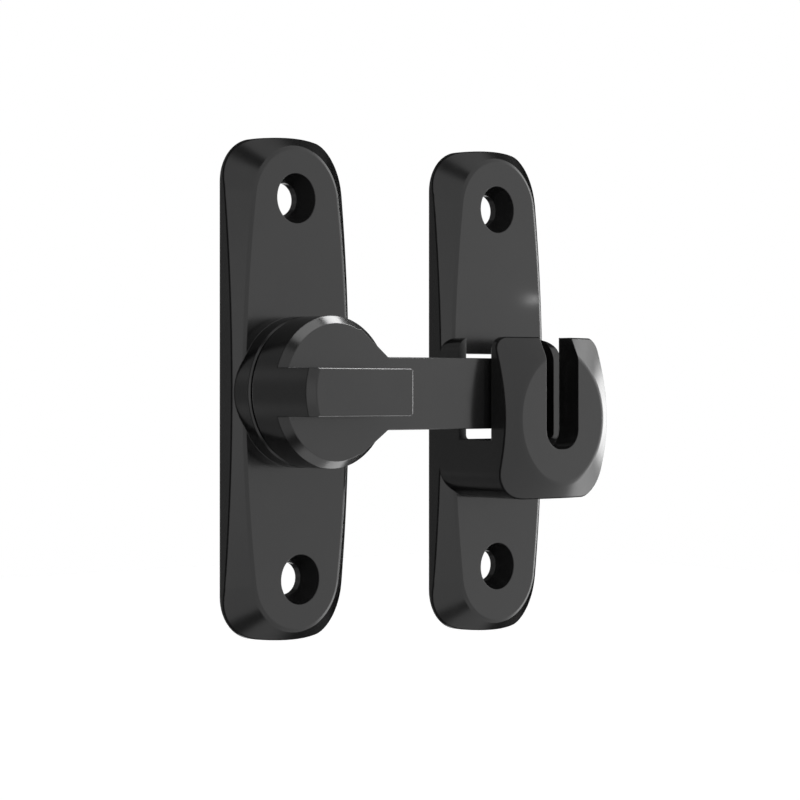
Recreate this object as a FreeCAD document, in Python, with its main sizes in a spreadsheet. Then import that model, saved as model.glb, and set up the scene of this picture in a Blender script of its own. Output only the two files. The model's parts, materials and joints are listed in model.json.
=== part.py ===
"""Door bolt: a swing-arm latch, in millimetres.

A cast pivot plate carries a turning arm with a grip bar, and the arm's head drops behind
the walls of a cast keeper. Frame: +X from the pivot plate to the keeper, +Y into the door,
+Z up. Both plates have their backs at Y = 0, and the origin is the middle of the pivot
plate's back. Depths are heights above that back, so a height of 5 lies at Y = -5.
"""
import FreeCAD, Part
import math
import os
import re

import Sketcher
from FreeCAD import Vector

os.makedirs("parts", exist_ok=True)
doc = FreeCAD.newDocument("door_bolt")

# Driving sizes, each written once
SIZES = [
    # Plates, alike on both halves
    ("plate_width", 24.6),
    ("pivot_plate_length", 80.0),
    ("keeper_plate_length", 82.0),
    ("keeper_plate_drop", 0.3),
    ("plate_corner", 7.0),
    ("plate_crown", 56.0),
    ("face_rise", 4.32),
    ("face_half_width", 10.75),
    ("face_end_round", 8.8),
    ("face_end_margin", 1.55),
    ("face_slope", 41.0),
    ("face_edge_cut", 0.3),
    ("rim_edge_round", 0.35),
    # Countersunk screw holes
    ("hole_dia", 5.2),
    ("sink_dia", 8.0),
    ("sink_angle", 50.0),
    ("pivot_hole_spacing", 60.7),
    ("pivot_hole_shift", 0.3),
    ("pivot_hole_stagger", 0.4),
    ("keeper_hole_spacing", 61.0),
    ("keeper_hole_lift", 0.2),
    ("keeper_hole_shift", 0.2),
    # Boss on the pivot plate, and the recess behind it
    ("pivot_drop", 0.5),
    ("boss_dia", 24.0),
    ("boss_rise", 6.9),
    ("boss_edge", 0.3),
    ("recess_dia", 14.0),
    ("recess_deep", 3.6),
    # Pivot screw and its washers
    ("shoulder_dia", 6.0),
    ("running_gap", 0.05),
    ("screw_head_dia", 11.0),
    ("screw_head_thick", 1.6),
    ("screw_edge", 0.2),
    ("screw_key", 3.0),
    ("screw_key_deep", 2.4),
    ("thread_dia", 4.9),
    ("thread_long", 5.0),
    ("thread_gap", 0.05),
    ("thread_run_out", 0.6),
    ("hub_washer_dia", 22.0),
    ("hub_washer_thick", 0.5),
    ("backing_washer_dia", 13.0),
    ("backing_washer_thick", 0.6),
    ("spring_dia", 11.5),
    ("spring_thick", 0.4),
    ("spring_cone", 0.35),
    # Turning arm
    ("hub_dia", 24.0),
    ("arm_front", 14.1),
    ("hub_edge", 1.2),
    ("hub_foot_edge", 0.25),
    ("arm_thick", 6.0),
    ("arm_above", 5.6),
    ("arm_below", 6.05),
    ("arm_reach", 46.5),
    ("arm_tip_cut", 1.5),
    ("arm_edge_cut", 0.12),
    ("shoulder_start", 5.0),
    ("shoulder_above", 4.3),
    ("shoulder_below", 3.8),
    ("shoulder_run", 5.66),
    ("head_inner", 36.4),
    ("head_deep", 3.2),
    ("bar_half_height", 3.75),
    ("bar_right", 9.4),
    ("bar_front", 21.5),
    ("bar_slant", 1.15),
    ("bar_corner", 0.5),
    ("bar_edge_round", 0.35),
    # Keeper housing
    ("keeper_offset", 45.36),
    ("house_top", 8.64),
    ("house_bottom", 18.3),
    ("house_top_round", 2.4),
    ("house_bottom_round", 5.2),
    ("house_front", 19.45),
    ("lens_drop", 4.9),
    ("lens_half_width", 9.85),
    ("lens_end_round", 8.9),
    ("lens_end_offset", 2.0),
    ("lens_slope", 27.0),
    ("channel_back", 7.28),
    ("channel_front", 14.9),
    ("channel_floor", 8.43),
    ("side_wall", 1.7),
    ("window_top", 6.0),
    ("window_floor", 8.6),
    ("window_right", 4.5),
    ("window_corner", 0.4),
    ("cavity_corner", 0.8),
    ("far_wall_round", 4.1),
    ("slot_half_width", 3.87),
    ("slot_floor", 10.05),
    ("slot_corner", 3.4),
    ("lens_edge_cut", 0.3),
    ("house_edge_cut", 0.2),
]

sizes = doc.addObject("Spreadsheet::Sheet", "sizes")
for row, (alias, number) in enumerate(SIZES, start=1):
    sizes.set(f"A{row}", alias)
    sizes.set(f"B{row}", str(number))
    sizes.setAlias(f"B{row}", alias)
doc.recompute()

ALIASES = {alias for alias, number in SIZES}

# How near two lengths must be to count as the same, and the least climb of an edge that counts as steep
CLOSE = 0.01
STEEP = 0.2


def bound(text):
    """Turn 'boss_dia / 2' into an expression that reads the sheet."""
    return re.sub(r"[a-z][a-z_]*[a-z]", lambda m: "sizes." + m[0] if m[0] in ALIASES else m[0], text)


def value(text):
    """Work out such a text as a number."""
    result = sizes.evalExpression(bound(text))
    return float(getattr(result, "Value", result))


def new_body(name):
    """Start a cast or turned piece of its own."""
    body = doc.addObject("PartDesign::Body", name)
    body.Label = name
    return body


def new_sketch(body, name, height="0", role="XZ_Plane"):
    """A sketch on an origin plane of the body. On XZ_Plane it looks at the front, height above the back."""
    plane = next(item for item in body.Origin.OriginFeatures if item.Role == role)
    sketch = body.newObject("Sketcher::SketchObject", name)
    sketch.AttachmentSupport = [(plane, "")]
    sketch.MapMode = "FlatFace"
    sketch.setExpression("AttachmentOffset.Base.z", bound(height))
    return sketch


def dimension(sketch, *constraint, size):
    """Add a dimension that follows the sheet."""
    index = sketch.addConstraint(Sketcher.Constraint(*constraint, value(size)))
    sketch.setExpression(f"Constraints[{index}]", bound(size))


def pin_point(sketch, item, end, across, up):
    """Hold a point at a bound place, measured from the sketch's origin."""
    dimension(sketch, "DistanceX", -1, 1, item, end, size=across)
    dimension(sketch, "DistanceY", -1, 1, item, end, size=up)


def first_end(corner):
    """Which end of an edge lies at its corner: an arc that bulges left is stored the other way round."""
    return 2 if len(corner) == 4 and corner[3] > 0 else 1


def outline(sketch, corners):
    """Closed outline. Each corner is (across, up) or (across, up, radius of the arc that follows, side)."""
    spots = [Vector(value(corner[0]), value(corner[1]), 0) for corner in corners]
    first = sketch.GeometryCount
    for number, corner in enumerate(corners):
        start = spots[number]
        end = spots[(number + 1) % len(spots)]
        if len(corner) == 2:
            sketch.addGeometry(Part.LineSegment(start, end))
        else:
            radius = value(corner[2])
            middle = (start + end) * 0.5
            half = (end - start).Length / 2
            along = (end - start).normalize()
            left = Vector(-along.y, along.x, 0)
            bulge = radius - math.sqrt(max(radius ** 2 - half ** 2, 0.0))
            sketch.addGeometry(Part.Arc(start, middle + left * (bulge * corner[3]), end))
    for number, corner in enumerate(corners):
        item = first + number
        following = first + (number + 1) % len(corners)
        start_end = first_end(corner)
        next_start = first_end(corners[(number + 1) % len(corners)])
        sketch.addConstraint(Sketcher.Constraint("Coincident", item, 3 - start_end, following, next_start))
        pin_point(sketch, item, start_end, corner[0], corner[1])
        if len(corner) == 4:
            dimension(sketch, "Radius", item, size=corner[2])


def rectangle(sketch, left, right, low, high):
    """Closed rectangle from bound edges."""
    outline(sketch, [(left, low), (right, low), (right, high), (left, high)])


def disc(sketch, across, up, diameter):
    """A circle at a bound place."""
    centre = Vector(value(across), value(up), 0)
    item = sketch.addGeometry(Part.Circle(centre, Vector(0, 0, 1), value(diameter) / 2))
    pin_point(sketch, item, 3, across, up)
    dimension(sketch, "Diameter", item, size=diameter)


def rounded_loop(sketch, corners):
    """Closed loop of straight edges with tangent corner arcs. Each corner is (across, up, radius)."""
    spots = [Vector(value(across), value(up), 0) for across, up, radius in corners]
    radii = [value(radius) for across, up, radius in corners]
    count = len(corners)
    first = sketch.GeometryCount
    touch = []
    for number, spot in enumerate(spots):
        before = (spots[number - 1] - spot).normalize()
        after = (spots[(number + 1) % count] - spot).normalize()
        half_angle = math.acos(max(-1.0, min(1.0, before.dot(after)))) / 2
        setback = radii[number] / math.tan(half_angle)
        middle = (before + after).normalize() * (radii[number] / math.sin(half_angle) - radii[number])
        touch.append((spot + before * setback, spot + middle, spot + after * setback))
    for number in range(count):
        sketch.addGeometry(Part.Arc(*touch[number]))
        sketch.addGeometry(Part.LineSegment(touch[number][2], touch[(number + 1) % count][0]))
    for number, (across, up, radius) in enumerate(corners):
        arc = first + 2 * number
        edge = arc + 1
        edge_before = first + (2 * number - 1) % (2 * count)
        next_arc = first + (2 * number + 2) % (2 * count)
        join_tangent(sketch, arc, edge)
        join_tangent(sketch, edge, next_arc)
        mark = sketch.addGeometry(Part.Point(spots[number]), True)
        sketch.addConstraint(Sketcher.Constraint("PointOnObject", mark, 1, edge))
        sketch.addConstraint(Sketcher.Constraint("PointOnObject", mark, 1, edge_before))
        pin_point(sketch, mark, 1, across, up)
        dimension(sketch, "Radius", arc, size=radius)


def ends_of(sketch, item):
    """The two end points of an edge, as (number, point)."""
    return [(number, sketch.getPoint(item, number)) for number in (1, 2)]


def join_tangent(sketch, one, other):
    """Tie the end points of two edges that meet, and make the edges tangent there."""
    pairs = [((a - b).Length, i, j) for i, a in ends_of(sketch, one) for j, b in ends_of(sketch, other)]
    gap, i, j = min(pairs)
    sketch.addConstraint(Sketcher.Constraint("Tangent", one, i, other, j))


def arc_through(centre, radius, start, end):
    """Arc about a centre between two directions, in degrees, turning left."""
    circle = Part.Circle(centre, Vector(0, 0, 1), radius)
    return Part.ArcOfCircle(circle, math.radians(start), math.radians(end))


def lens(sketch, half_width, end_round, end_offset, up="0"):
    """Oval of four tangent arcs: two small ones at the ends and two large ones along the sides."""
    width = value(half_width)
    small = value(end_round)
    offset = value(end_offset)
    middle = value(up)
    spread = (offset ** 2 - (width - small) ** 2) / (2 * (width - small))
    step = f"({half_width} - {end_round})"
    side_round = f"(({end_offset})^2 - {step}^2) / (2 * {step}) + {half_width}"
    tilt = math.degrees(math.atan2(offset, spread))
    shapes = [
        arc_through(Vector(0, middle + offset, 0), small, tilt, 180 - tilt),
        arc_through(Vector(spread, middle, 0), spread + width, 180 - tilt, 180 + tilt),
        arc_through(Vector(0, middle - offset, 0), small, 180 + tilt, 360 - tilt),
        arc_through(Vector(-spread, middle, 0), spread + width, -tilt, tilt),
    ]
    top, left, bottom, right = [sketch.addGeometry(shape) for shape in shapes]
    for one, other in ((top, left), (left, bottom), (bottom, right), (right, top)):
        join_tangent(sketch, one, other)
    pin_point(sketch, top, 3, "0", f"{up} + {end_offset}")
    pin_point(sketch, bottom, 3, "0", f"{up} - ({end_offset})")
    dimension(sketch, "Radius", top, size=end_round)
    dimension(sketch, "Radius", left, size=side_round)
    sketch.addConstraint(Sketcher.Constraint("Equal", top, bottom))
    sketch.addConstraint(Sketcher.Constraint("Equal", left, right))


def crowned_plate(sketch, half_width, half_length, corner, crown, up="0"):
    """Plate outline: straight sides, round corners and slightly crowned ends."""
    width = value(half_width)
    length = value(half_length)
    small = value(corner)
    large = value(crown)
    middle = value(up)
    corner_x = width - small
    reach = math.sqrt((large - small) ** 2 - corner_x ** 2) - large + length
    high = middle + reach
    low = middle - reach
    lean = math.degrees(math.asin(corner_x / (large - small)))
    shapes = [
        arc_through(Vector(0, middle + length - large, 0), large, 90 - lean, 90 + lean),
        arc_through(Vector(-corner_x, high, 0), small, 90 + lean, 180),
        Part.LineSegment(Vector(-width, high, 0), Vector(-width, low, 0)),
        arc_through(Vector(-corner_x, low, 0), small, 180, 270 - lean),
        arc_through(Vector(0, middle - length + large, 0), large, 270 - lean, 270 + lean),
        arc_through(Vector(corner_x, low, 0), small, 270 + lean, 360),
        Part.LineSegment(Vector(width, low, 0), Vector(width, high, 0)),
        arc_through(Vector(corner_x, high, 0), small, 0, 90 - lean),
    ]
    items = [sketch.addGeometry(shape) for shape in shapes]
    for one, other in zip(items, items[1:] + items[:1]):
        join_tangent(sketch, one, other)
    top, top_left, left, bottom_left, bottom, bottom_right, right, top_right = items
    for side, across in ((left, f"-({half_width})"), (right, half_width)):
        sketch.addConstraint(Sketcher.Constraint("Vertical", side))
        dimension(sketch, "DistanceX", -1, 1, side, 1, size=across)
    dimension(sketch, "Radius", top_left, size=corner)
    for other in (bottom_left, bottom_right, top_right):
        sketch.addConstraint(Sketcher.Constraint("Equal", top_left, other))
    dimension(sketch, "Radius", top, size=crown)
    sketch.addConstraint(Sketcher.Constraint("Equal", top, bottom))
    pin_point(sketch, top, 3, "0", f"{up} + {half_length} - {crown}")
    pin_point(sketch, bottom, 3, "0", f"{up} - ({half_length}) + {crown}")


def add_pad(body, name, sketch, length, backwards=False, slope=None):
    """Build up from a sketch, towards the front, or backwards with walls that slope outwards."""
    pad = body.newObject("PartDesign::Pad", name)
    pad.Profile = sketch
    pad.Reversed = backwards
    pad.setExpression("Length", bound(length))
    if slope:
        pad.setExpression("TaperAngle", bound(f"90 - {slope}"))
    doc.recompute()


def add_pocket(body, name, sketch, length, forwards=False):
    """Cut from a sketch towards the back, or forwards from the back."""
    before = body.Shape.Volume
    pocket = body.newObject("PartDesign::Pocket", name)
    pocket.Profile = sketch
    pocket.Reversed = forwards
    pocket.setExpression("Length", bound(length))
    doc.recompute()
    if body.Shape.Volume > before - CLOSE:
        raise RuntimeError(name + " cuts nothing")


def pick_edges(shape, wanted):
    """Names of the edges that a test accepts."""
    return [f"Edge{number}" for number, edge in enumerate(shape.Edges, start=1) if wanted(edge)]


def dress(body, kind, name, wanted, size):
    """Fillet or chamfer the edges that a test accepts."""
    base = body.Tip
    edges = pick_edges(base.Shape, wanted)
    if not edges:
        raise RuntimeError(name + " finds no edge")
    feature = body.newObject("PartDesign::" + kind, name)
    feature.Base = (base, edges)
    feature.setExpression("Radius" if kind == "Fillet" else "Size", bound(size))
    doc.recompute()


def middle_of(edge):
    """A point half way along an edge, as across, height above the back, and up."""
    first, last = edge.ParameterRange
    point = edge.valueAt((first + last) / 2)
    return point.x, -point.y, point.z


def flat_at(edge, height):
    """True for an edge that lies in the plane at a height."""
    heights = [-vertex.Y for vertex in edge.Vertexes] + [middle_of(edge)[1]]
    return all(abs(item - height) < CLOSE for item in heights)


def trim_to(body, name, height, draw_outline):
    """Cut away all that lies outside an outline."""
    sketch = new_sketch(body, name + "_sketch", height)
    rectangle(sketch, "-2 * plate_width", "2 * plate_width", "-keeper_plate_length", "keeper_plate_length")
    draw_outline(sketch)
    add_pocket(body, name, sketch, height)


def add_plate(body, half_length, up):
    """Cast plate: a raised lens face whose edges slope down to a thin rim."""
    end_offset = f"{half_length} - face_end_margin - face_end_round"
    face = new_sketch(body, "raised_face", "face_rise")
    lens(face, "face_half_width", "face_end_round", end_offset, up)
    add_pad(body, "sloped_plate", face, "face_rise", backwards=True, slope="face_slope")
    rim = ("plate_width / 2", half_length, "plate_corner", "plate_crown", up)
    trim_to(body, "plate_rim", "face_rise", lambda sketch: crowned_plate(sketch, *rim))


def break_plate_edges(body, clear):
    """Take the sharpness off the raised face and the rim, where the edges are clear of other forms."""
    rise = value("face_rise")
    room = "(plate_width / 2 - face_half_width) / 4"
    dress(body, "Chamfer", "face_edge",
          lambda edge: flat_at(edge, rise) and clear(edge), f"min(face_edge_cut; {room})")
    dress(body, "Fillet", "rim_edge",
          lambda edge: wavy_rim(edge, 0, rise) and clear(edge), f"min(rim_edge_round; {room})")


def wavy_rim(edge, low, high):
    """True for an edge where a slope meets a side wall, between two heights."""
    heights = [-vertex.Y for vertex in edge.Vertexes] + [middle_of(edge)[1]]
    return min(heights) > low + CLOSE and max(heights) < high - CLOSE and not runs_forwards(edge)


def runs_forwards(edge):
    """True for a straight edge that climbs towards the front, up a wall or a slope."""
    first, last = edge.Vertexes[0].Point, edge.Vertexes[-1].Point
    return edge.Curve.TypeId == "Part::GeomLine" and abs(first.y - last.y) > edge.Length * STEEP


def upright(edge):
    """True for a straight edge that runs square from back to front."""
    first, last = edge.Vertexes[0].Point, edge.Vertexes[-1].Point
    return edge.Curve.TypeId == "Part::GeomLine" and abs(abs(first.y - last.y) - edge.Length) < CLOSE


def add_screw_holes(body, places):
    """Countersunk holes for wood screws, cut from the raised face."""
    sketch = new_sketch(body, "screw_holes_sketch", "face_rise")
    for across, up in places:
        disc(sketch, across, up, "hole_dia")
    doc.recompute()
    hole = body.newObject("PartDesign::Hole", "screw_holes")
    hole.Profile = sketch
    hole.DepthType = "ThroughAll"
    hole.HoleCutType = "Countersink"
    hole.HoleCutCustomValues = True
    hole.setExpression("Diameter", bound("hole_dia"))
    hole.setExpression("HoleCutDiameter", bound("sink_dia"))
    hole.setExpression("HoleCutCountersinkAngle", bound("sink_angle"))
    doc.recompute()


def turned(name, profile):
    """Turned piece on the pivot axis. The profile is (radius, height above the back)."""
    body = new_body(name)
    body.setExpression("Placement.Base.z", bound("-pivot_drop"))
    sketch = new_sketch(body, name + "_profile", role="XY_Plane")
    outline(sketch, [(radius, f"-({height})") for radius, height in profile])
    revolution = body.newObject("PartDesign::Revolution", name + "_turned")
    revolution.Profile = sketch
    revolution.ReferenceAxis = (sketch, ["V_Axis"])
    doc.recompute()
    return body


# Pivot plate: raised face, boss, bore and rear recess
pivot_plate = new_body("pivot_plate")
add_plate(pivot_plate, "pivot_plate_length / 2", "0")
break_plate_edges(pivot_plate, lambda edge: True)

boss = new_sketch(pivot_plate, "boss_sketch")
disc(boss, "0", "-pivot_drop", "boss_dia")
add_pad(pivot_plate, "boss", boss, "boss_rise")
dress(pivot_plate, "Chamfer", "boss_edge_cut", lambda edge: flat_at(edge, value("boss_rise")), "boss_edge")

bore = new_sketch(pivot_plate, "bore_sketch", "boss_rise")
disc(bore, "0", "-pivot_drop", "shoulder_dia + 2 * running_gap")
add_pocket(pivot_plate, "bore", bore, "boss_rise")

recess = new_sketch(pivot_plate, "recess_sketch", "recess_deep")
disc(recess, "0", "-pivot_drop", "recess_dia")
add_pocket(pivot_plate, "recess", recess, "recess_deep")

add_screw_holes(pivot_plate, [
    ("pivot_hole_shift - pivot_hole_stagger", "pivot_hole_spacing / 2"),
    ("pivot_hole_shift + pivot_hole_stagger", "-pivot_hole_spacing / 2"),
])

# Heights along the pivot axis, counted up from the recess floor and the boss
HUB_BACK = "boss_rise + hub_washer_thick"
WASHER_BACK = "recess_deep - backing_washer_thick"
SPRING_BACK = f"{WASHER_BACK} - spring_cone - spring_thick"
HEAD_BACK = f"{SPRING_BACK} - screw_head_thick"

# Plain washer in the gap between boss and hub
turned("hub_washer", [
    ("shoulder_dia / 2 + running_gap", "boss_rise"),
    ("hub_washer_dia / 2", "boss_rise"),
    ("hub_washer_dia / 2", HUB_BACK),
    ("shoulder_dia / 2 + running_gap", HUB_BACK),
])

# Flat washer on the recess floor
turned("backing_washer", [
    ("shoulder_dia / 2 + running_gap", "recess_deep"),
    ("backing_washer_dia / 2", "recess_deep"),
    ("backing_washer_dia / 2", WASHER_BACK),
    ("shoulder_dia / 2 + running_gap", WASHER_BACK),
])

# Conical spring washer: its rim bears on the flat washer, its bore on the screw's head
turned("disc_spring", [
    ("shoulder_dia / 2 + running_gap", SPRING_BACK),
    ("shoulder_dia / 2 + running_gap", f"{SPRING_BACK} + spring_thick"),
    ("spring_dia / 2", WASHER_BACK),
    ("spring_dia / 2", f"{WASHER_BACK} - spring_thick"),
])

# Shoulder screw: head in the recess, shoulder through the bore, thread in the hub
pivot_screw = turned("pivot_screw", [
    ("0", HEAD_BACK),
    ("screw_head_dia / 2 - screw_edge", HEAD_BACK),
    ("screw_head_dia / 2", f"{HEAD_BACK} + screw_edge"),
    ("screw_head_dia / 2", SPRING_BACK),
    ("shoulder_dia / 2", SPRING_BACK),
    ("shoulder_dia / 2", HUB_BACK),
    ("thread_dia / 2", HUB_BACK),
    ("thread_dia / 2", f"{HUB_BACK} + thread_long - screw_edge"),
    ("thread_dia / 2 - screw_edge", f"{HUB_BACK} + thread_long"),
    ("0", f"{HUB_BACK} + thread_long"),
])
key = new_sketch(pivot_screw, "key_sketch", HEAD_BACK)
outline(key, [
    ("screw_key / sqrt(3)", "0"),
    ("screw_key / sqrt(12)", "screw_key / 2"),
    ("-screw_key / sqrt(12)", "screw_key / 2"),
    ("-screw_key / sqrt(3)", "0"),
    ("-screw_key / sqrt(12)", "-screw_key / 2"),
    ("screw_key / sqrt(12)", "-screw_key / 2"),
])
add_pocket(pivot_screw, "key_socket", key, "screw_key_deep", forwards=True)

# Turning arm: hub disc, arm with shoulders, head and grip bar, in one casting
latch_arm = new_body("latch_arm")
latch_arm.setExpression("Placement.Base.z", bound("-pivot_drop"))
hub = new_sketch(latch_arm, "hub_sketch", HUB_BACK)
disc(hub, "0", "0", "hub_dia")
add_pad(latch_arm, "hub", hub, f"arm_front - ({HUB_BACK})")
ARM_FRONT = value("arm_front")
dress(latch_arm, "Chamfer", "hub_slant", lambda edge: flat_at(edge, ARM_FRONT), "hub_edge")
dress(latch_arm, "Chamfer", "hub_foot", lambda edge: flat_at(edge, value(HUB_BACK)), "hub_foot_edge")

beam = new_sketch(latch_arm, "beam_sketch", "arm_front - arm_thick")
outline(beam, [
    ("0", "-arm_below - shoulder_below"),
    ("shoulder_start", "-arm_below - shoulder_below"),
    ("shoulder_start + shoulder_run", "-arm_below"),
    ("arm_reach", "-arm_below"),
    ("arm_reach", "arm_above"),
    ("shoulder_start + shoulder_run", "arm_above"),
    ("shoulder_start", "arm_above + shoulder_above"),
    ("0", "arm_above + shoulder_above"),
])
add_pad(latch_arm, "beam", beam, "arm_thick")

head = new_sketch(latch_arm, "head_sketch", "arm_front - arm_thick - head_deep")
outline(head, [
    ("sqrt(head_inner^2 - arm_below^2)", "-arm_below"),
    ("arm_reach", "-arm_below"),
    ("arm_reach", "arm_above"),
    ("sqrt(head_inner^2 - arm_above^2)", "arm_above", "head_inner", 1),
])
add_pad(latch_arm, "head", head, "head_deep")
ARM_TIP = value("arm_reach") - CLOSE
ARM_SIDES = value("shoulder_start + shoulder_run") - CLOSE
dress(latch_arm, "Chamfer", "arm_tip",
      lambda edge: upright(edge) and middle_of(edge)[0] > ARM_TIP, "arm_tip_cut")
dress(latch_arm, "Chamfer", "arm_edges",
      lambda edge: flat_at(edge, ARM_FRONT) and middle_of(edge)[0] > ARM_SIDES, "arm_edge_cut")

bar = new_sketch(latch_arm, "bar_sketch", "arm_front - arm_thick")
outline(bar, [
    ("-sqrt((hub_dia / 2)^2 - bar_half_height^2)", "-bar_half_height"),
    ("bar_right", "-bar_half_height"),
    ("bar_right", "bar_half_height"),
    ("-sqrt((hub_dia / 2)^2 - bar_half_height^2)", "bar_half_height", "hub_dia / 2", -1),
])
add_pad(latch_arm, "bar", bar, "bar_front - arm_front + arm_thick")
BAR_FRONT = value("bar_front")
BAR_LEFT = CLOSE - value("hub_dia / 2")
BAR_RIGHT = value("bar_right") - CLOSE
dress(latch_arm, "Chamfer", "bar_end_slant",
      lambda edge: flat_at(edge, BAR_FRONT) and middle_of(edge)[0] < BAR_LEFT, "bar_slant")
dress(latch_arm, "Fillet", "bar_corners",
      lambda edge: upright(edge) and BAR_RIGHT < middle_of(edge)[0] < ARM_SIDES
      and middle_of(edge)[1] > ARM_FRONT, "bar_corner")
dress(latch_arm, "Fillet", "bar_edges", lambda edge: flat_at(edge, BAR_FRONT), "bar_edge_round")

thread_hole = new_sketch(latch_arm, "thread_hole_sketch", HUB_BACK)
disc(thread_hole, "0", "0", "thread_dia + 2 * thread_gap")
add_pocket(latch_arm, "thread_hole", thread_hole, "thread_long + thread_run_out", forwards=True)



def beside_house(edge):
    """True for an edge of the keeper's plate that lies above or below the housing."""
    up = middle_of(edge)[2]
    return up > value("house_top") + CLOSE or up < -value("house_bottom") - CLOSE


# Keeper: hook housing first, then its plate, then the cuts that open it
keeper = new_body("keeper")
keeper.setExpression("Placement.Base.x", bound("keeper_offset"))
cover = new_sketch(keeper, "cover_face", "house_front")
lens(cover, "lens_half_width", "lens_end_round", "lens_end_offset", "-lens_drop")
add_pad(keeper, "cover_slopes", cover, "house_front", backwards=True, slope="lens_slope")
trim_to(keeper, "house_sides", "house_front", lambda sketch: rounded_loop(sketch, [
    ("-plate_width / 2", "-house_bottom", "house_bottom_round"),
    ("plate_width / 2", "-house_bottom", "house_bottom_round"),
    ("plate_width / 2", "house_top", "house_top_round"),
    ("-plate_width / 2", "house_top", "house_top_round"),
]))
HOUSE_FRONT = value("house_front")
COVER_BACK = value("channel_front")
dress(keeper, "Chamfer", "lens_edge", lambda edge: flat_at(edge, HOUSE_FRONT), "lens_edge_cut")
dress(keeper, "Chamfer", "house_edge",
      lambda edge: wavy_rim(edge, COVER_BACK, HOUSE_FRONT), "house_edge_cut")
add_plate(keeper, "keeper_plate_length / 2", "-keeper_plate_drop")
break_plate_edges(keeper, beside_house)

channel = new_sketch(keeper, "channel_sketch", "channel_front")
rectangle(channel, "-plate_width", "plate_width", "-channel_floor", "2 * house_top")
add_pocket(keeper, "channel", channel, "channel_front - channel_back")

cavity = new_sketch(keeper, "cavity_sketch", "channel_back")
rounded_loop(cavity, [
    ("side_wall - plate_width / 2", "-channel_floor", "cavity_corner"),
    ("plate_width / 2 - side_wall", "-channel_floor", "cavity_corner"),
    ("plate_width / 2 - side_wall", "2 * house_top", "cavity_corner"),
    ("side_wall - plate_width / 2", "2 * house_top", "cavity_corner"),
])
add_pocket(keeper, "cavity", cavity, "channel_back - face_rise")

FAR_WALL_LEVEL = "house_top - far_wall_round"
FAR_WALL_TOP = f"{FAR_WALL_LEVEL} + sqrt(far_wall_round^2 - (far_wall_round - channel_back + face_rise)^2)"
far_wall = new_sketch(keeper, "far_wall_sketch", "plate_width", role="YZ_Plane")
outline(far_wall, [
    ("-channel_back", FAR_WALL_LEVEL, "far_wall_round", 1),
    ("-face_rise", FAR_WALL_TOP),
    ("-face_rise", "2 * house_top"),
    ("-channel_front", "2 * house_top"),
    ("-channel_front", FAR_WALL_LEVEL),
])
add_pocket(keeper, "far_wall_rounding", far_wall, "plate_width / 2 + side_wall")

window = new_sketch(keeper, "window_sketch", "face_rise")
rounded_loop(window, [
    ("side_wall - plate_width / 2", "-window_floor", "window_corner"),
    ("window_right", "-window_floor", "window_corner"),
    ("window_right", "window_top", "window_corner"),
    ("side_wall - plate_width / 2", "window_top", "window_corner"),
])
add_pocket(keeper, "window", window, "face_rise")

slot = new_sketch(keeper, "slot_sketch", "house_front")
rounded_loop(slot, [
    ("-slot_half_width", "-slot_floor", "slot_corner"),
    ("slot_half_width", "-slot_floor", "slot_corner"),
    ("slot_half_width", "2 * house_top", "slot_corner"),
    ("-slot_half_width", "2 * house_top", "slot_corner"),
])
add_pocket(keeper, "slot", slot, "house_front - channel_front")

add_screw_holes(keeper, [
    ("-keeper_hole_shift", "keeper_hole_lift + keeper_hole_spacing / 2"),
    ("-keeper_hole_shift", "keeper_hole_lift - keeper_hole_spacing / 2"),
])

doc.recompute()
for item in doc.Objects:
    if "Invalid" in item.State or "Error" in item.State:
        raise RuntimeError(item.Name + " failed: " + str(item.State))
bodies = [item for item in doc.Objects if item.TypeId == "PartDesign::Body"]
for body in bodies:
    if body.Shape.isNull() or not body.Shape.isValid():
        raise RuntimeError(body.Label + " has no valid shape")
for body in bodies:
    body.Shape.exportStep(f"parts/{body.Label}.step")
    print(body.Label, round(body.Shape.Volume, 1), "mm3,", len(body.Shape.Solids), "solid",
          body.Shape.optimalBoundingBox())
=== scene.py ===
# %% [markdown]
# # A swing-arm door bolt in black
#
# The real object is two small castings and a turning arm, all in one satin black coating. The CAD
# frame already holds every piece at its real size, so this file does not model them again. It gives
# the pieces their finish, cuts the thread that the CAD leaves plain, and sets up a photograph of
# them: floor, lights and camera.

# %% Load the frame
import json
import math

import bmesh
import bpy
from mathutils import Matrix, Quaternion, Vector


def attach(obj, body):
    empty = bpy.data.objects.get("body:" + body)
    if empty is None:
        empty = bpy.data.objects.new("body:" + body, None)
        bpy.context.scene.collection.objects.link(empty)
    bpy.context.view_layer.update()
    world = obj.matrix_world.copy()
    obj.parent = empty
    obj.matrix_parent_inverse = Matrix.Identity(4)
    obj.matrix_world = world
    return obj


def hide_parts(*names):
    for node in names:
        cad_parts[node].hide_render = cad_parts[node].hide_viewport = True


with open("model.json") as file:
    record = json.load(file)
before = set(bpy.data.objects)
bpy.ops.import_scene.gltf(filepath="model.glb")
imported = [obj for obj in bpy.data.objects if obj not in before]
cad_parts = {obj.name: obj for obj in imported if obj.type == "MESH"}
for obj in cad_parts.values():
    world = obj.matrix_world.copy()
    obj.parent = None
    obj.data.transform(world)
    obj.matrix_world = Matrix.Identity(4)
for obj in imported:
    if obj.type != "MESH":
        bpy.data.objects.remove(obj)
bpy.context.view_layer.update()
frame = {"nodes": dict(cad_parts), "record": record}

print("pieces:", sorted(frame["nodes"]))

# %% [markdown]
# ## A small kit for nodes
#
# The finishes, the screw's thread and the sky are all trees of nodes. Nodes can be placed by hand
# in Blender's editor, but a script gives the same tree on each run. Writing each one out takes many
# lines, so a few helpers do the repeated work: they link or set a socket, add a node with its
# inputs, do a sum, and choose between two shaders.

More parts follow.
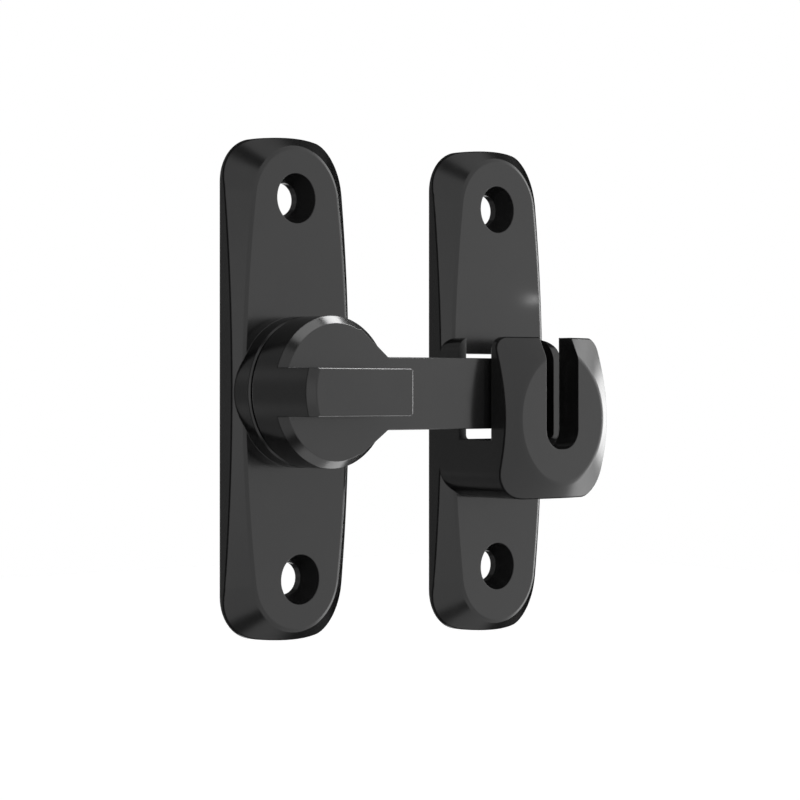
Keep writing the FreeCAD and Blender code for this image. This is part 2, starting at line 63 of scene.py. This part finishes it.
# %% Helpers for any node tree
def feed(tree, given, socket):
    """Link another node's output to a socket, or set the socket to a plain value."""
    if isinstance(given, bpy.types.NodeSocket):
        tree.links.new(given, socket)
    else:
        socket.default_value = given


def feed_in_order(tree, node, *values):
    """Feed a node's first inputs, for nodes whose inputs share a name."""
    for socket, given in zip(node.inputs, values):
        feed(tree, given, socket)
    return node


def add_node(tree, kind, settings=None, **inputs):
    """Add a node, set its properties, then feed its inputs by name."""
    node = tree.nodes.new(kind)
    for name, setting in (settings or {}).items():
        setattr(node, name, setting)
    for name, given in inputs.items():
        feed(tree, given, node.inputs[name.replace("_", " ")])
    return node


def calculate(tree, operation, first, second):
    """The result of a Math node on two values."""
    node = add_node(tree, "ShaderNodeMath", {"operation": operation})
    return feed_in_order(tree, node, first, second).outputs["Value"]


def choose(tree, switch, when_off, when_on):
    """One of two shaders, by a switch such as the kind of ray."""
    node = add_node(tree, "ShaderNodeMixShader")
    return feed_in_order(tree, node, switch, when_off, when_on).outputs["Shader"]


# %% [markdown]
# ## What every finish needs
#
# Each finish is a Principled shader with three things fed into it: a colour, a roughness that is
# not the same everywhere, and a bump. Images could carry these, but noise needs no unwrapping and
# stays sharp from close by. All patterns read Object coordinates, so they stay on the piece when
# the arm turns.

# %% Helpers for materials
def start_material(name):
    """A new material with an empty tree, its Principled shader and its output."""
    material = bpy.data.materials.new(name)
    material.use_nodes = True
    tree = material.node_tree
    tree.nodes.clear()
    shader = add_node(tree, "ShaderNodeBsdfPrincipled")
    add_node(tree, "ShaderNodeOutputMaterial", Surface=shader.outputs["BSDF"])
    return material, tree, shader


def object_place(tree):
    """Each point's place on its own object, in metres."""
    return add_node(tree, "ShaderNodeTexCoord").outputs["Object"]


def noise(tree, place, per_metre, detail):
    """An uneven pattern of the given fineness."""
    node = add_node(tree, "ShaderNodeTexNoise", Vector=place, Scale=per_metre, Detail=detail)
    return node.outputs["Fac"]


def two_tones(tree, pattern, stops):
    """A colour that follows a pattern between two stops, each a position and a colour."""
    ramp = add_node(tree, "ShaderNodeValToRGB", Fac=pattern)
    for element, (position, color) in zip(ramp.color_ramp.elements, stops):
        element.position = position
        element.color = color
    return ramp.outputs["Color"]


def spread(tree, pattern, onto, part=(0.0, 1.0)):
    """Stretch a part of a pattern onto a range of roughness."""
    node = add_node(tree, "ShaderNodeMapRange", Value=pattern, From_Min=part[0],
                    From_Max=part[1], To_Min=onto[0], To_Max=onto[1])
    return node.outputs["Result"]


def bump(tree, pattern, height, **inputs):
    """A normal that rises with a pattern, up to a height in metres."""
    node = add_node(tree, "ShaderNodeBump", Height=pattern, Strength=1.0, Distance=height, **inputs)
    return node.outputs["Normal"]


def finish_shader(tree, shader, color, roughness, normal):
    """Feed a finish's colour, roughness and normal to its shader."""
    feed(tree, color, shader.inputs["Base Color"])
    feed(tree, roughness, shader.inputs["Roughness"])
    feed(tree, normal, shader.inputs["Normal"])


# %% [markdown]
# ## Black coating on the castings
#
# The castings are coated in a deep black with a soft gloss. Almost nothing of what such a coat
# shows is its own colour: the faces are grey only because they mirror a bright room, and they turn
# black where they mirror another black piece. So the colour is nearly black, and the look comes
# from the gloss. Up close the coat is not even: it has a very fine orange peel, its gloss wanders
# from place to place, and fine dust and handling dull it in spots. Two noises multiplied make those
# spots. A Bevel node rounds the sharp edges in the shading alone, as a coat does on a casting.

# %% The coating
COAT_TONES = ((0.35, (0.0085, 0.0085, 0.0088, 1)), (0.75, (0.0125, 0.0124, 0.0123, 1)))
COAT_DRIFT = (90.0, 3.0)      # patterns: scale per metre, detail
COAT_GRIME = (420.0, 5.0)
COAT_PEEL = (1500.0, 2.0)
PEEL_HEIGHT = 0.0000022
SPOTS_PART = (0.1, 0.45)
COAT_GLOSS = (0.16, 0.22)
COAT_EDGE = 0.0002
EDGE_SAMPLES = 6


def black_coating():
    """Deep black coat: its gloss drifts, and a fine orange peel breaks the mirror."""
    material, tree, shader = start_material("black_coating")
    place = object_place(tree)
    drift = noise(tree, place, *COAT_DRIFT)
    spots = calculate(tree, "MULTIPLY", drift, noise(tree, place, *COAT_GRIME))
    peel = noise(tree, place, *COAT_PEEL)
    soft_edge = add_node(tree, "ShaderNodeBevel", {"samples": EDGE_SAMPLES}, Radius=COAT_EDGE)
    finish_shader(tree, shader, two_tones(tree, drift, COAT_TONES),
                  spread(tree, spots, COAT_GLOSS, SPOTS_PART),
                  bump(tree, peel, PEEL_HEIGHT, Normal=soft_edge.outputs["Normal"]))
    print("black coating:", len(tree.nodes), "nodes, roughness", COAT_GLOSS)
    return material


FINISHES = {"black_casting": black_coating()}

# %% [markdown]
# ## Zinc plated steel
#
# The screw, its flat washer and its spring are turned or stamped steel with bright zinc on them.
# They sit in the recess at the back of the pivot plate. Turning leaves fine rings round the screw's
# axis, and the zinc has a faint warm and cool drift. The rings are too low to be worth a mesh of
# their own, so a wave texture makes them as bump. A Mapping node moves it onto the axis.

# %% The steel
SCREW_AXIS_Z = -0.0005
ZINC_TONES = ((0.35, (0.60, 0.62, 0.65, 1)), (0.70, (0.68, 0.66, 0.60, 1)))
ZINC_DRIFT = (260.0, 4.0)
ZINC_GLOSS = (0.24, 0.40)
RINGS_PER_METRE = 900.0
RING_WOBBLE = {"Distortion": 0.6, "Detail": 2.0}
RING_HEIGHT = 0.000004


def plated_steel():
    """Zinc plated steel with turning rings round the screw's axis."""
    material, tree, shader = start_material("zinc_plated_steel")
    place = object_place(tree)
    drift = noise(tree, place, *ZINC_DRIFT)
    centred = add_node(tree, "ShaderNodeMapping", Vector=place, Location=(0, 0, -SCREW_AXIS_Z))
    rings = add_node(tree, "ShaderNodeTexWave", {"wave_type": "RINGS", "rings_direction": "Y"},
                     Vector=centred.outputs["Vector"], Scale=RINGS_PER_METRE, **RING_WOBBLE)
    finish_shader(tree, shader, two_tones(tree, drift, ZINC_TONES),
                  spread(tree, drift, ZINC_GLOSS), bump(tree, rings.outputs["Fac"], RING_HEIGHT))
    shader.inputs["Metallic"].default_value = 1.0
    print("zinc plated steel:", len(tree.nodes), "nodes, roughness", ZINC_GLOSS)
    return material


FINISHES["zinc_steel"] = plated_steel()

# %% [markdown]
# ## Black nylon
#
# A thin moulded washer lies in the gap between boss and hub. Moulded nylon is a little lighter and
# much duller than the coat, with a fine spark-eroded grain. Only a thin dark line of it shows, so
# one even colour with an uneven gloss and a fine bump is enough.

# %% The nylon
NYLON_COLOR = (0.014, 0.014, 0.015, 1)
NYLON_DRIFT = (900.0, 2.0)
NYLON_GLOSS = (0.48, 0.60)
NYLON_GRAIN = (5000.0, 2.0)
GRAIN_HEIGHT = 0.000006


def black_nylon():
    """Dull moulded nylon with a fine grain."""
    material, tree, shader = start_material("black_nylon")
    place = object_place(tree)
    gloss = spread(tree, noise(tree, place, *NYLON_DRIFT), NYLON_GLOSS)
    grain = bump(tree, noise(tree, place, *NYLON_GRAIN), GRAIN_HEIGHT)
    finish_shader(tree, shader, NYLON_COLOR, gloss, grain)
    print("black nylon:", len(tree.nodes), "nodes, roughness", NYLON_GLOSS)
    return material


FINISHES["black_nylon"] = black_nylon()

# %% [markdown]
# ## Each piece gets its finish
#
# The record names a material slot for each piece, so one table of finishes is enough. The meshes
# stay as the frame gives them.

# %% Finishes on the pieces
for part in frame["record"]["subparts"]:
    node = frame["nodes"][part["node"]]
    node.data.materials.clear()
    node.data.materials.append(FINISHES[part["material_slot"]])

# %% [markdown]
# ## The screw's thread
#
# The CAD frame leaves the screw's thread as a plain cylinder. The real one is a ridge that winds
# round a core. Blender's Screw modifier could wind it too, but would leave blunt ends. Geometry
# Nodes draw a spiral, sweep the ridge's section along it and let it fade out at both ends. The core
# is a copy of the CAD screw whose threaded length is drawn in to the core's radius, so head, key
# socket and shoulder stay as they are. The frame's meshes are loose along their edges, so the copy
# is merged first, and gets its sharp edges back by angle.

# %% A closed copy of the CAD screw
MERGE_WITHIN = 0.000001
SHARP_FROM = math.radians(30)


def merged_copy(node, name):
    """Copy of a CAD node's mesh with its loose triangles joined at their edges."""
    mesh = frame["nodes"][node].data.copy()
    mesh.name = name
    form = bmesh.new()
    form.from_mesh(mesh)
    bmesh.ops.remove_doubles(form, verts=form.verts, dist=MERGE_WITHIN)
    print("open edges after the merge:", sum(len(edge.link_faces) != 2 for edge in form.edges))
    form.to_mesh(mesh)
    form.free()
    mesh.attributes.remove(mesh.attributes["custom_normal"])
    mesh.shade_smooth()
    mesh.set_sharp_from_angle(angle=SHARP_FROM)
    return mesh


def add_object(name, data):
    """A new object in the scene."""
    made = bpy.data.objects.new(name, data)
    bpy.context.scene.collection.objects.link(made)
    return made


screw = add_object("pivot_screw_threaded", merged_copy("pivot_screw", "pivot_screw_threaded"))

# %% The screw's core
SHOULDER_END = -0.0074
THREAD_LONG = 0.0050
THREAD_PITCH = 0.0008
THREAD_RADIUS = 0.00245
CORE_RADIUS = 0.00202
THREAD_EDGE = 0.0001


def draw_in_core(mesh):
    """Draw the threaded length in to the core's radius."""
    drawn = 0
    for vertex in mesh.vertices:
        x, y, z = vertex.co.x, vertex.co.y, vertex.co.z - SCREW_AXIS_Z
        radius = math.hypot(x, z)
        if y < SHOULDER_END + THREAD_EDGE and THREAD_EDGE < radius <= THREAD_RADIUS + THREAD_EDGE:
            vertex.co.x = x * CORE_RADIUS / THREAD_RADIUS
            vertex.co.z = z * CORE_RADIUS / THREAD_RADIUS + SCREW_AXIS_Z
            drawn += 1
    print("points drawn in to the core:", drawn)


draw_in_core(screw.data)

# %% The thread's path
SPIRAL_STEPS = 28
FADE_LOW = 0.05
FADE_FULL = (0.12, 0.88)


def fading(tree, along):
    """A height that is full along the thread and low at its two ends."""
    node = add_node(tree, "ShaderNodeFloatCurve", Value=along)
    curve = node.mapping.curves[0]
    curve.points[0].location = (0.0, FADE_LOW)
    curve.points[1].location = (1.0, FADE_LOW)
    for share in FADE_FULL:
        curve.points.new(share, 1.0)
    for point in curve.points:
        point.handle_type = "VECTOR"
    node.mapping.update()
    return node.outputs["Value"]


def thread_path(tree, given):
    """A spiral round the core that carries the ridge's height along it."""
    turns = calculate(tree, "DIVIDE", given["Length"], given["Pitch"])
    spiral = add_node(tree, "GeometryNodeCurveSpiral", Resolution=SPIRAL_STEPS, Rotations=turns,
                      Start_Radius=given["Core Radius"], End_Radius=given["Core Radius"],
                      Height=given["Length"])
    upright = add_node(tree, "GeometryNodeSetCurveNormal", {"mode": "Z_UP"},
                       Curve=spiral.outputs["Curve"])
    along = add_node(tree, "GeometryNodeSplineParameter").outputs["Factor"]
    faded = add_node(tree, "GeometryNodeSetCurveRadius", Curve=upright.outputs["Curve"],
                     Radius=fading(tree, along))
    return faded.outputs["Curve"]


# %% The ridge's section
FOOT_SHARE = 0.78        # of the pitch
CREST_SHARE = 0.16
SECTION_TURN = math.radians(90)


def ridge_section(tree, given):
    """A trapezium that stands on the path, its narrow side away from the axis."""
    section = add_node(tree, "GeometryNodeCurvePrimitiveQuadrilateral", {"mode": "TRAPEZOID"},
                       Bottom_Width=calculate(tree, "MULTIPLY", given["Pitch"], FOOT_SHARE),
                       Top_Width=calculate(tree, "MULTIPLY", given["Pitch"], CREST_SHARE),
                       Height=given["Ridge Height"], Offset=0.0)
    half_height = calculate(tree, "DIVIDE", given["Ridge Height"], 2.0)
    lift = add_node(tree, "ShaderNodeCombineXYZ", Y=half_height)
    raised = add_node(tree, "GeometryNodeTransform", Geometry=section.outputs["Curve"],
                      Translation=lift.outputs["Vector"])
    turned = add_node(tree, "GeometryNodeTransform", Geometry=raised.outputs["Geometry"],
                      Rotation=(0, 0, SECTION_TURN))
    return turned.outputs["Geometry"]


# %% The thread's node tree
RIDGE_SINK = 0.00006
THREAD_SIZES = {
    "Pitch": THREAD_PITCH,
    "Length": THREAD_LONG - THREAD_PITCH,
    "Core Radius": CORE_RADIUS - RIDGE_SINK,
    "Ridge Height": THREAD_RADIUS - CORE_RADIUS + RIDGE_SINK,
    "Start": (0.0, SHOULDER_END - THREAD_PITCH / 2, SCREW_AXIS_Z),
}
ALONG_SCREW = (math.radians(90), 0, 0)


def thread_inputs(tree):
    """The tree's named inputs: geometry, the thread's sizes and a material."""
    sockets = tree.interface
    sockets.new_socket("Geometry", in_out="INPUT", socket_type="NodeSocketGeometry")
    for name, size in THREAD_SIZES.items():
        kind = "NodeSocketVector" if isinstance(size, tuple) else "NodeSocketFloat"
        sockets.new_socket(name, in_out="INPUT", socket_type=kind).default_value = size
    sockets.new_socket("Material", in_out="INPUT", socket_type="NodeSocketMaterial")
    sockets.new_socket("Geometry", in_out="OUTPUT", socket_type="NodeSocketGeometry")
    return tree.nodes.new("NodeGroupInput").outputs


def thread_tree():
    """Geometry Nodes: sweep a ridge along a spiral and join it to the incoming core."""
    tree = bpy.data.node_groups.new("screw_thread", "GeometryNodeTree")
    given = thread_inputs(tree)
    ridge = add_node(tree, "GeometryNodeCurveToMesh", Curve=thread_path(tree, given),
                     Profile_Curve=ridge_section(tree, given), Fill_Caps=True)
    laid = add_node(tree, "GeometryNodeTransform", Geometry=ridge.outputs["Mesh"],
                    Rotation=ALONG_SCREW, Translation=given["Start"])
    joined = add_node(tree, "GeometryNodeJoinGeometry")
    for geometry in (laid.outputs["Geometry"], given["Geometry"]):
        tree.links.new(geometry, joined.inputs["Geometry"])
    real = add_node(tree, "GeometryNodeRealizeInstances", Geometry=joined.outputs["Geometry"])
    finished = add_node(tree, "GeometryNodeSetMaterial", Geometry=real.outputs["Geometry"],
                        Material=given["Material"])
    add_node(tree, "NodeGroupOutput", Geometry=finished.outputs["Geometry"])
    print("turns of thread:", round(THREAD_SIZES["Length"] / THREAD_PITCH, 2))
    return tree


thread = thread_tree()

# %% [markdown]
# ## Cut the thread
#
# A modifier runs the tree on the core, and its result is kept as a plain mesh. The new piece then
# takes the CAD screw's place and rides on the arm, because the real screw turns with it.

# %% Run the tree on the core
def set_input(modifier, name, given):
    """Set a Geometry Nodes input by its socket's identifier."""
    for item in modifier.node_group.interface.items_tree:
        if item.item_type == "SOCKET" and item.in_out == "INPUT" and item.name == name:
            modifier[item.identifier] = given


def cut_thread(screw):
    """Run the tree on the core and keep its result as a plain mesh."""
    modifier = screw.modifiers.new("thread", "NODES")
    modifier.node_group = thread
    for name, size in THREAD_SIZES.items():
        set_input(modifier, name, size)
    set_input(modifier, "Material", FINISHES["zinc_steel"])
    graph = bpy.context.evaluated_depsgraph_get()
    result = bpy.data.meshes.new_from_object(screw.evaluated_get(graph))
    screw.modifiers.remove(modifier)
    result.materials.clear()
    result.materials.append(FINISHES["zinc_steel"])
    screw.data = result


cut_thread(screw)
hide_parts("pivot_screw")
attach(screw, "arm")

# %% [markdown]
# ## Floor
#
# The photograph shows the bolt alone on white. A curved backdrop would do for that, but one flat
# floor is simpler, and it lies so far below the bolt that it does not cut the picture. To the
# camera it glows a little, just enough to come out white where no shadow falls. As a light on the
# bolt it is only a pale floor, and the gloss does not mirror it.

# %% Floor
FLOOR_DROP = 0.16
FLOOR_HALF = 1.5
FLOOR_PALE = (0.85, 0.85, 0.85, 1)
FLOOR_ROUGHNESS = 0.9
FLOOR_GLOW = 0.70
WHITE = (1, 1, 1, 1)


def floor_finish():
    """Pale, glowing to the camera, and clear to the rays that gloss sends out."""
    material, tree, shader = start_material("floor_white")
    path = add_node(tree, "ShaderNodeLightPath")
    for name, given in (("Base Color", FLOOR_PALE), ("Roughness", FLOOR_ROUGHNESS),
                        ("Emission Color", WHITE)):
        shader.inputs[name].default_value = given
    glow = calculate(tree, "MULTIPLY", path.outputs["Is Camera Ray"], FLOOR_GLOW)
    feed(tree, glow, shader.inputs["Emission Strength"])
    unseen = add_node(tree, "ShaderNodeBsdfTransparent")
    seen = choose(tree, path.outputs["Is Glossy Ray"], shader.outputs["BSDF"],
                  unseen.outputs["BSDF"])
    feed(tree, seen, tree.nodes["Material Output"].inputs["Surface"])
    return material


def make_floor():
    """A plain flat square under the bolt."""
    mesh = bpy.data.meshes.new("floor")
    corners = [(x * FLOOR_HALF, y * FLOOR_HALF, -FLOOR_DROP)
               for x, y in ((-1, -1), (1, -1), (1, 1), (-1, 1))]
    mesh.from_pydata(corners, [], [(0, 1, 2, 3)])
    mesh.materials.append(floor_finish())
    return add_object("floor", mesh)


floor = make_floor()
print("floor:", 2 * FLOOR_HALF, "m wide,", FLOOR_DROP, "m below the arm's middle")

# %% [markdown]
# ## Studio light
#
# The bolt was taken in a soft white tent that is darker to its left and at its back. Area lamps
# could build such a tent, but black gloss mirrors every gap between them. A world that is bright in
# some directions and dim in others has no gaps. Each patch below is a soft round glow, given by
# where it stands, how wide it is and how bright it is, and each face of the bolt shows the patch
# that it mirrors. Soft boxes to the right make the white edges on the hub and on the hook's cover.
# A negative patch takes light away, as a black flag does in a studio.

# %% Sky helpers
def sky_direction(around, up):
    """Unit vector to a place in the sky: degrees around from the front, to the right, and up."""
    turn, lift = math.radians(around), math.radians(up)
    return (math.cos(lift) * math.sin(turn), -math.cos(lift) * math.cos(turn), math.sin(lift))


def add_patch(tree, look, total, around, up, core, reach, strength):
    """Add a soft round glow to the running total of the sky's strength."""
    facing = add_node(tree, "ShaderNodeVectorMath", {"operation": "DOT_PRODUCT"})
    feed_in_order(tree, facing, look, sky_direction(around, up))
    patch = add_node(tree, "ShaderNodeMapRange", {"interpolation_type": "SMOOTHSTEP"},
                     Value=facing.outputs["Value"], From_Min=math.cos(math.radians(reach)),
                     From_Max=math.cos(math.radians(core)), To_Max=strength)
    return calculate(tree, "ADD", total, patch.outputs["Result"])


# %% Sky
ROOM = 0.05
PATCHES = (
    # around, up, core, reach, strength
    (15, 0, 67, 78, 0.92),            # the tent's white front
    (60, 0, 10, 34, 0.32),
    (-50, 0, 6, 18, 0.30),
    (86, 20, 5, 15, 1.50),            # soft boxes to the right
    (86, -20, 5, 17, 1.60),
    (98, 0, 6, 13, 4.40),
    (-24, 54, 4, 12, -0.88),          # black flags
    (-24, -54, 4, 12, -0.88),
    (-150, 0, 15, 27, 0.25),          # pale walls behind
    (-152, 30, 12, 26, 0.20),
    (-152, -30, 12, 26, 0.20),
    (180, 0, 18, 31, 1.10),
    (146, -16, 9, 17, 0.90),
    (123, 2, 12, 20, -0.05),          # one weak flag more
)


def make_world():
    """The tent: white to the camera, patches of soft light to everything else."""
    world = bpy.data.worlds.new("studio")
    world.use_nodes = True
    tree = world.node_tree
    tree.nodes.clear()
    look = add_node(tree, "ShaderNodeTexCoord").outputs["Generated"]
    total = ROOM
    for patch in PATCHES:
        total = add_patch(tree, look, total, *patch)
    path = add_node(tree, "ShaderNodeLightPath")
    soft = add_node(tree, "ShaderNodeBackground", Color=WHITE, Strength=total)
    white = add_node(tree, "ShaderNodeBackground", Color=WHITE, Strength=1.0)
    shown = choose(tree, path.outputs["Is Camera Ray"], soft.outputs["Background"],
                   white.outputs["Background"])
    add_node(tree, "ShaderNodeOutputWorld", Surface=shown)
    bpy.context.scene.world = world


make_world()
print("sky:", len(PATCHES), "patches on a room of", ROOM)

# %% [markdown]
# ## Accent lamps
#
# The slanted rim of the hub is light in the photograph and white at its top, while the plates stay
# dark. More patches in the sky would light the plates too. So small soft boxes do it, with light
# linking, which keeps each lamp on its own piece. Five are on the arm: two close to the hub's rim,
# and three larger ones above, below and beside it. One very small lamp close to the keeper makes
# the soft spot at the right of its plate.

# %% Light linking
def only(node):
    """A collection with a single piece in it, for light linking."""
    collection = bpy.data.collections.new(node + "_only")
    collection.objects.link(frame["nodes"][node])
    return collection


ARM_ONLY = only("latch_arm")
KEEPER_ONLY = only("keeper")
print("light linking:", ARM_ONLY.name, KEEPER_ONLY.name)

# %% Accent lamps
HUB_RIM = Vector((0.0, -0.0135, 0.0))
RIM_TOP = Vector((0.005, -0.0135, 0.0105))
RIM_BOTTOM = Vector((0.002, -0.0135, -0.0120))
BAR_END = Vector((0.0094, -0.0215, 0.0))
PLATE_SPOT = Vector((0.0538, -0.0043, 0.0155))
FAR_BOX = (0.5, 0.36, 0.18)       # distance, long side, short side
NEAR_BOX = (0.05, 0.044, 0.018)
SPOT_BOX = (0.018, 0.0024, 0.0014)
ACCENTS = (
    # name, receivers, aim, box, around, up, roll, radiance
    ("accent_high", ARM_ONLY, RIM_TOP, NEAR_BOX, 84, 52, 60, 11.0),
    ("accent_over", ARM_ONLY, HUB_RIM, FAR_BOX, 15, 68, 0, 2.2),
    ("accent_low", ARM_ONLY, RIM_BOTTOM, NEAR_BOX, 92, -50, -60, 3.6),
    ("accent_under", ARM_ONLY, HUB_RIM, FAR_BOX, 50, -70, 0, 1.0),
    ("accent_side", ARM_ONLY, BAR_END, FAR_BOX, 85, 0, 0, 6.0),
    ("accent_spot", KEEPER_ONLY, PLATE_SPOT, SPOT_BOX, 46, 2, 0, 5.0),
)


def accent_lamp(name, receivers, aim, box, around, up, roll, radiance):
    """A soft box aimed at a point of a piece, which only that piece sees."""
    distance, long, short = box
    data = bpy.data.lights.new(name, "AREA")
    data.shape = "RECTANGLE"
    data.size = long
    data.size_y = short
    data.energy = radiance * math.pi * long * short
    lamp = add_object(name, data)
    away = Vector(sky_direction(around, up))
    facing = away.to_track_quat("Z", "Y") @ Quaternion((0, 0, 1), math.radians(roll))
    lamp.location = aim + distance * away
    lamp.rotation_euler = facing.to_euler()
    lamp.visible_camera = False
    lamp.light_linking.receiver_collection = receivers
    return lamp


lamps = [accent_lamp(*accent) for accent in ACCENTS]
print("accent lamps:", [lamp.name for lamp in lamps])

# %% [markdown]
# ## Camera
#
# The camera stands level to the left of the bolt, 43 degrees round, at the distance at which the
# two plates shrink as they do in the photograph. It could be placed by eye, but the plates'
# outlines and the four screw holes fix it: the numbers below are the ones at which they fall where
# the photograph has them.

# %% Camera
AZIMUTH = 43.06
DISTANCE = 0.42132
AIM = Vector((0.022, -0.006, 0.0))
FOCAL_PIXELS = 2561.34
FRAME_PIXELS = 800
CENTRE_PIXEL = (405.29, 389.04)
SENSOR = 36.0
NEAREST = 0.01


def make_camera():
    """A level camera that looks at the bolt from its left."""
    data = bpy.data.cameras.new("camera")
    data.sensor_width = SENSOR
    data.lens = FOCAL_PIXELS / FRAME_PIXELS * SENSOR
    data.shift_x = (FRAME_PIXELS / 2 - CENTRE_PIXEL[0]) / FRAME_PIXELS
    data.shift_y = (CENTRE_PIXEL[1] - FRAME_PIXELS / 2) / FRAME_PIXELS
    data.clip_start = NEAREST
    camera = add_object("camera", data)
    turn = math.radians(AZIMUTH)
    camera.location = AIM - DISTANCE * Vector((math.sin(turn), math.cos(turn), 0))
    camera.rotation_euler = (math.radians(90), 0, -turn)
    print("camera: lens in mm", round(data.lens, 1), "distance in m", DISTANCE)
    return camera


bpy.context.scene.camera = make_camera()
bpy.context.scene.view_settings.view_transform = "Standard"
